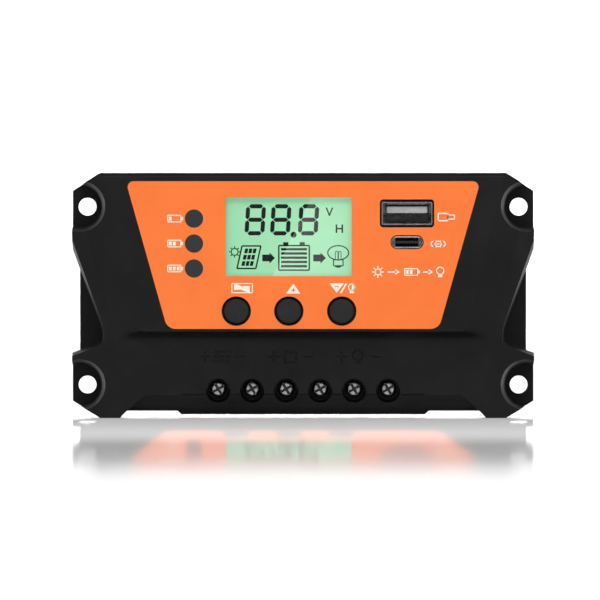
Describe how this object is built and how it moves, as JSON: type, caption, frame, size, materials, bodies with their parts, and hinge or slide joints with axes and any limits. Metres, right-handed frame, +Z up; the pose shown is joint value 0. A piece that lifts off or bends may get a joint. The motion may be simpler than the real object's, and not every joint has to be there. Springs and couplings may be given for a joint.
{
  "type": "solar charge controller",
  "caption": "Wall-mounted solar charge controller with a display, push buttons, charging sockets, indicator lamps and a row of screw terminals behind access holes.",
  "frame": {"origin": "middle of the lowest edge: centre of the width and depth, at the feet", "axes": "+X to the viewer's right across the front, +Y from the front face to the wall, +Z up"},
  "size_m": [0.1334, 0.035, 0.0708],
  "materials": {
    "casing_black": "moulded, fine grain, satin",
    "plate_metal": "rolled and anodised, brushed",
    "screw_steel": "zinc plated",
    "label_print": "printed film, semi-matt",
    "window_clear": "clear moulded pane",
    "lcd_glass": "display glass with polariser",
    "lcd_backlight": "milky light guide",
    "white_plastic": "moulded",
    "pin_metal": "gold plated",
    "led_body": "clear resin over phosphor",
    "socket_steel": "nickel plated pressing",
    "dark_nickel": "black nickel plated pressing",
    "grey_plastic": "moulded",
    "black_contacts": "dark plated spring metal",
    "socket_black": "moulded",
    "board_green": "solder mask over glass fibre",
    "terminal_plastic": "moulded, glass filled",
    "copper": "tinned copper",
    "clamp_metal": "zinc plated pressing",
    "can_sleeve": "heat-shrunk sleeve",
    "ferrite": "coated powder core",
    "fuse_plastic": "translucent moulding",
    "chip_plastic": "epoxy moulding",
    "pad_grey": "soft gap filler",
    "button_rubber": "soft matt",
    "plunger_plastic": "moulded",
    "switch_metal": "tinned",
    "smoked_lens": "smoked acrylic"
  },
  "bodies": {
    "casing": {"front_cover": "casing_black", "back_plate": "plate_metal", "case_screws": "screw_steel", "face_label": "label_print", "display_window": "window_clear", "lcd_glass": "lcd_glass", "lcd_backlight": "lcd_backlight", "lcd_frame": "white_plastic", "lcd_pins": "pin_metal", "indicator_leds": "led_body", "usb_a_shell": "dark_nickel", "usb_a_tongue": "grey_plastic", "usb_a_contacts": "black_contacts", "usb_c_shell": "socket_steel", "usb_c_tongue": "socket_black", "front_board": "board_green", "front_board_screws": "screw_steel", "main_board": "board_green", "main_board_screws": "screw_steel", "board_header": "socket_black", "header_pins": "pin_metal", "terminal_block": "terminal_plastic", "terminal_bars": "copper", "storage_capacitors": "can_sleeve", "choke_core": "ferrite", "choke_base": "socket_black", "blade_fuse": "fuse_plastic", "buzzer": "socket_black", "controller_chip": "chip_plastic", "chip_legs": "screw_steel", "current_shunts": "copper", "power_transistors": "chip_plastic", "thermal_pad": "pad_grey", "converter_chip": "chip_plastic", "converter_coil": "ferrite", "switch_menu": "switch_metal", "switch_up": "switch_metal", "switch_down": "switch_metal", "indicator_lens_1": "smoked_lens", "indicator_lens_2": "smoked_lens", "indicator_lens_3": "smoked_lens"},
    "menu_key": {"button_menu": "button_rubber", "plunger_menu": "plunger_plastic"},
    "up_key": {"button_up": "button_rubber", "plunger_up": "plunger_plastic"},
    "down_key": {"button_down": "button_rubber", "plunger_down": "plunger_plastic"},
    "screw_1": {"terminal_screw_1": "screw_steel"},
    "clamp_1": {"wire_clamp_1": "clamp_metal"},
    "screw_2": {"terminal_screw_2": "screw_steel"},
    "clamp_2": {"wire_clamp_2": "clamp_metal"},
    "screw_3": {"terminal_screw_3": "screw_steel"},
    "clamp_3": {"wire_clamp_3": "clamp_metal"},
    "screw_4": {"terminal_screw_4": "screw_steel"},
    "clamp_4": {"wire_clamp_4": "clamp_metal"},
    "screw_5": {"terminal_screw_5": "screw_steel"},
    "clamp_5": {"wire_clamp_5": "clamp_metal"},
    "screw_6": {"terminal_screw_6": "screw_steel"},
    "clamp_6": {"wire_clamp_6": "clamp_metal"}
  },
  "joints": [
    {"name": "menu_press", "type": "slide", "parent": "casing", "child": "menu_key", "axis": [0, 1, 0], "range_m": [0, 0.0004], "stiffness_N_per_m": 400, "springref_m": -0.0008},
    {"name": "up_press", "type": "slide", "parent": "casing", "child": "up_key", "axis": [0, 1, 0], "range_m": [0, 0.0004], "stiffness_N_per_m": 400, "springref_m": -0.0008},
    {"name": "down_press", "type": "slide", "parent": "casing", "child": "down_key", "axis": [0, 1, 0], "range_m": [0, 0.0004], "stiffness_N_per_m": 400, "springref_m": -0.0008},
    {"name": "screw_1_turn", "type": "hinge", "parent": "casing", "child": "screw_1", "pos_m": [-0.02455, -0.003, 0.0084], "axis": [0, 1, 0], "range_deg": [0, 1800]},
    {"name": "clamp_1_rise", "type": "slide", "parent": "casing", "child": "clamp_1", "axis": [0, -1, 0], "range_m": [0, 0.0025]},
    {"name": "screw_2_turn", "type": "hinge", "parent": "casing", "child": "screw_2", "pos_m": [-0.01473, -0.003, 0.0084], "axis": [0, 1, 0], "range_deg": [0, 1800]},
    {"name": "clamp_2_rise", "type": "slide", "parent": "casing", "child": "clamp_2", "axis": [0, -1, 0], "range_m": [0, 0.0025]},
    {"name": "screw_3_turn", "type": "hinge", "parent": "casing", "child": "screw_3", "pos_m": [-0.00491, -0.003, 0.0084], "axis": [0, 1, 0], "range_deg": [0, 1800]},
    {"name": "clamp_3_rise", "type": "slide", "parent": "casing", "child": "clamp_3", "axis": [0, -1, 0], "range_m": [0, 0.0025]},
    {"name": "screw_4_turn", "type": "hinge", "parent": "casing", "child": "screw_4", "pos_m": [0.00491, -0.003, 0.0084], "axis": [0, 1, 0], "range_deg": [0, 1800]},
    {"name": "clamp_4_rise", "type": "slide", "parent": "casing", "child": "clamp_4", "axis": [0, -1, 0], "range_m": [0, 0.0025]},
    {"name": "screw_5_turn", "type": "hinge", "parent": "casing", "child": "screw_5", "pos_m": [0.01473, -0.003, 0.0084], "axis": [0, 1, 0], "range_deg": [0, 1800]},
    {"name": "clamp_5_rise", "type": "slide", "parent": "casing", "child": "clamp_5", "axis": [0, -1, 0], "range_m": [0, 0.0025]},
    {"name": "screw_6_turn", "type": "hinge", "parent": "casing", "child": "screw_6", "pos_m": [0.02455, -0.003, 0.0084], "axis": [0, 1, 0], "range_deg": [0, 1800]},
    {"name": "clamp_6_rise", "type": "slide", "parent": "casing", "child": "clamp_6", "axis": [0, -1, 0], "range_m": [0, 0.0025]}
  ],
  "couplings": [
    {"joint": "screw_1_turn", "follows": "clamp_1_rise", "rad_per_m": 12566},
    {"joint": "screw_2_turn", "follows": "clamp_2_rise", "rad_per_m": 12566},
    {"joint": "screw_3_turn", "follows": "clamp_3_rise", "rad_per_m": 12566},
    {"joint": "screw_4_turn", "follows": "clamp_4_rise", "rad_per_m": 12566},
    {"joint": "screw_5_turn", "follows": "clamp_5_rise", "rad_per_m": 12566},
    {"joint": "screw_6_turn", "follows": "clamp_6_rise", "rad_per_m": 12566}
  ]
}
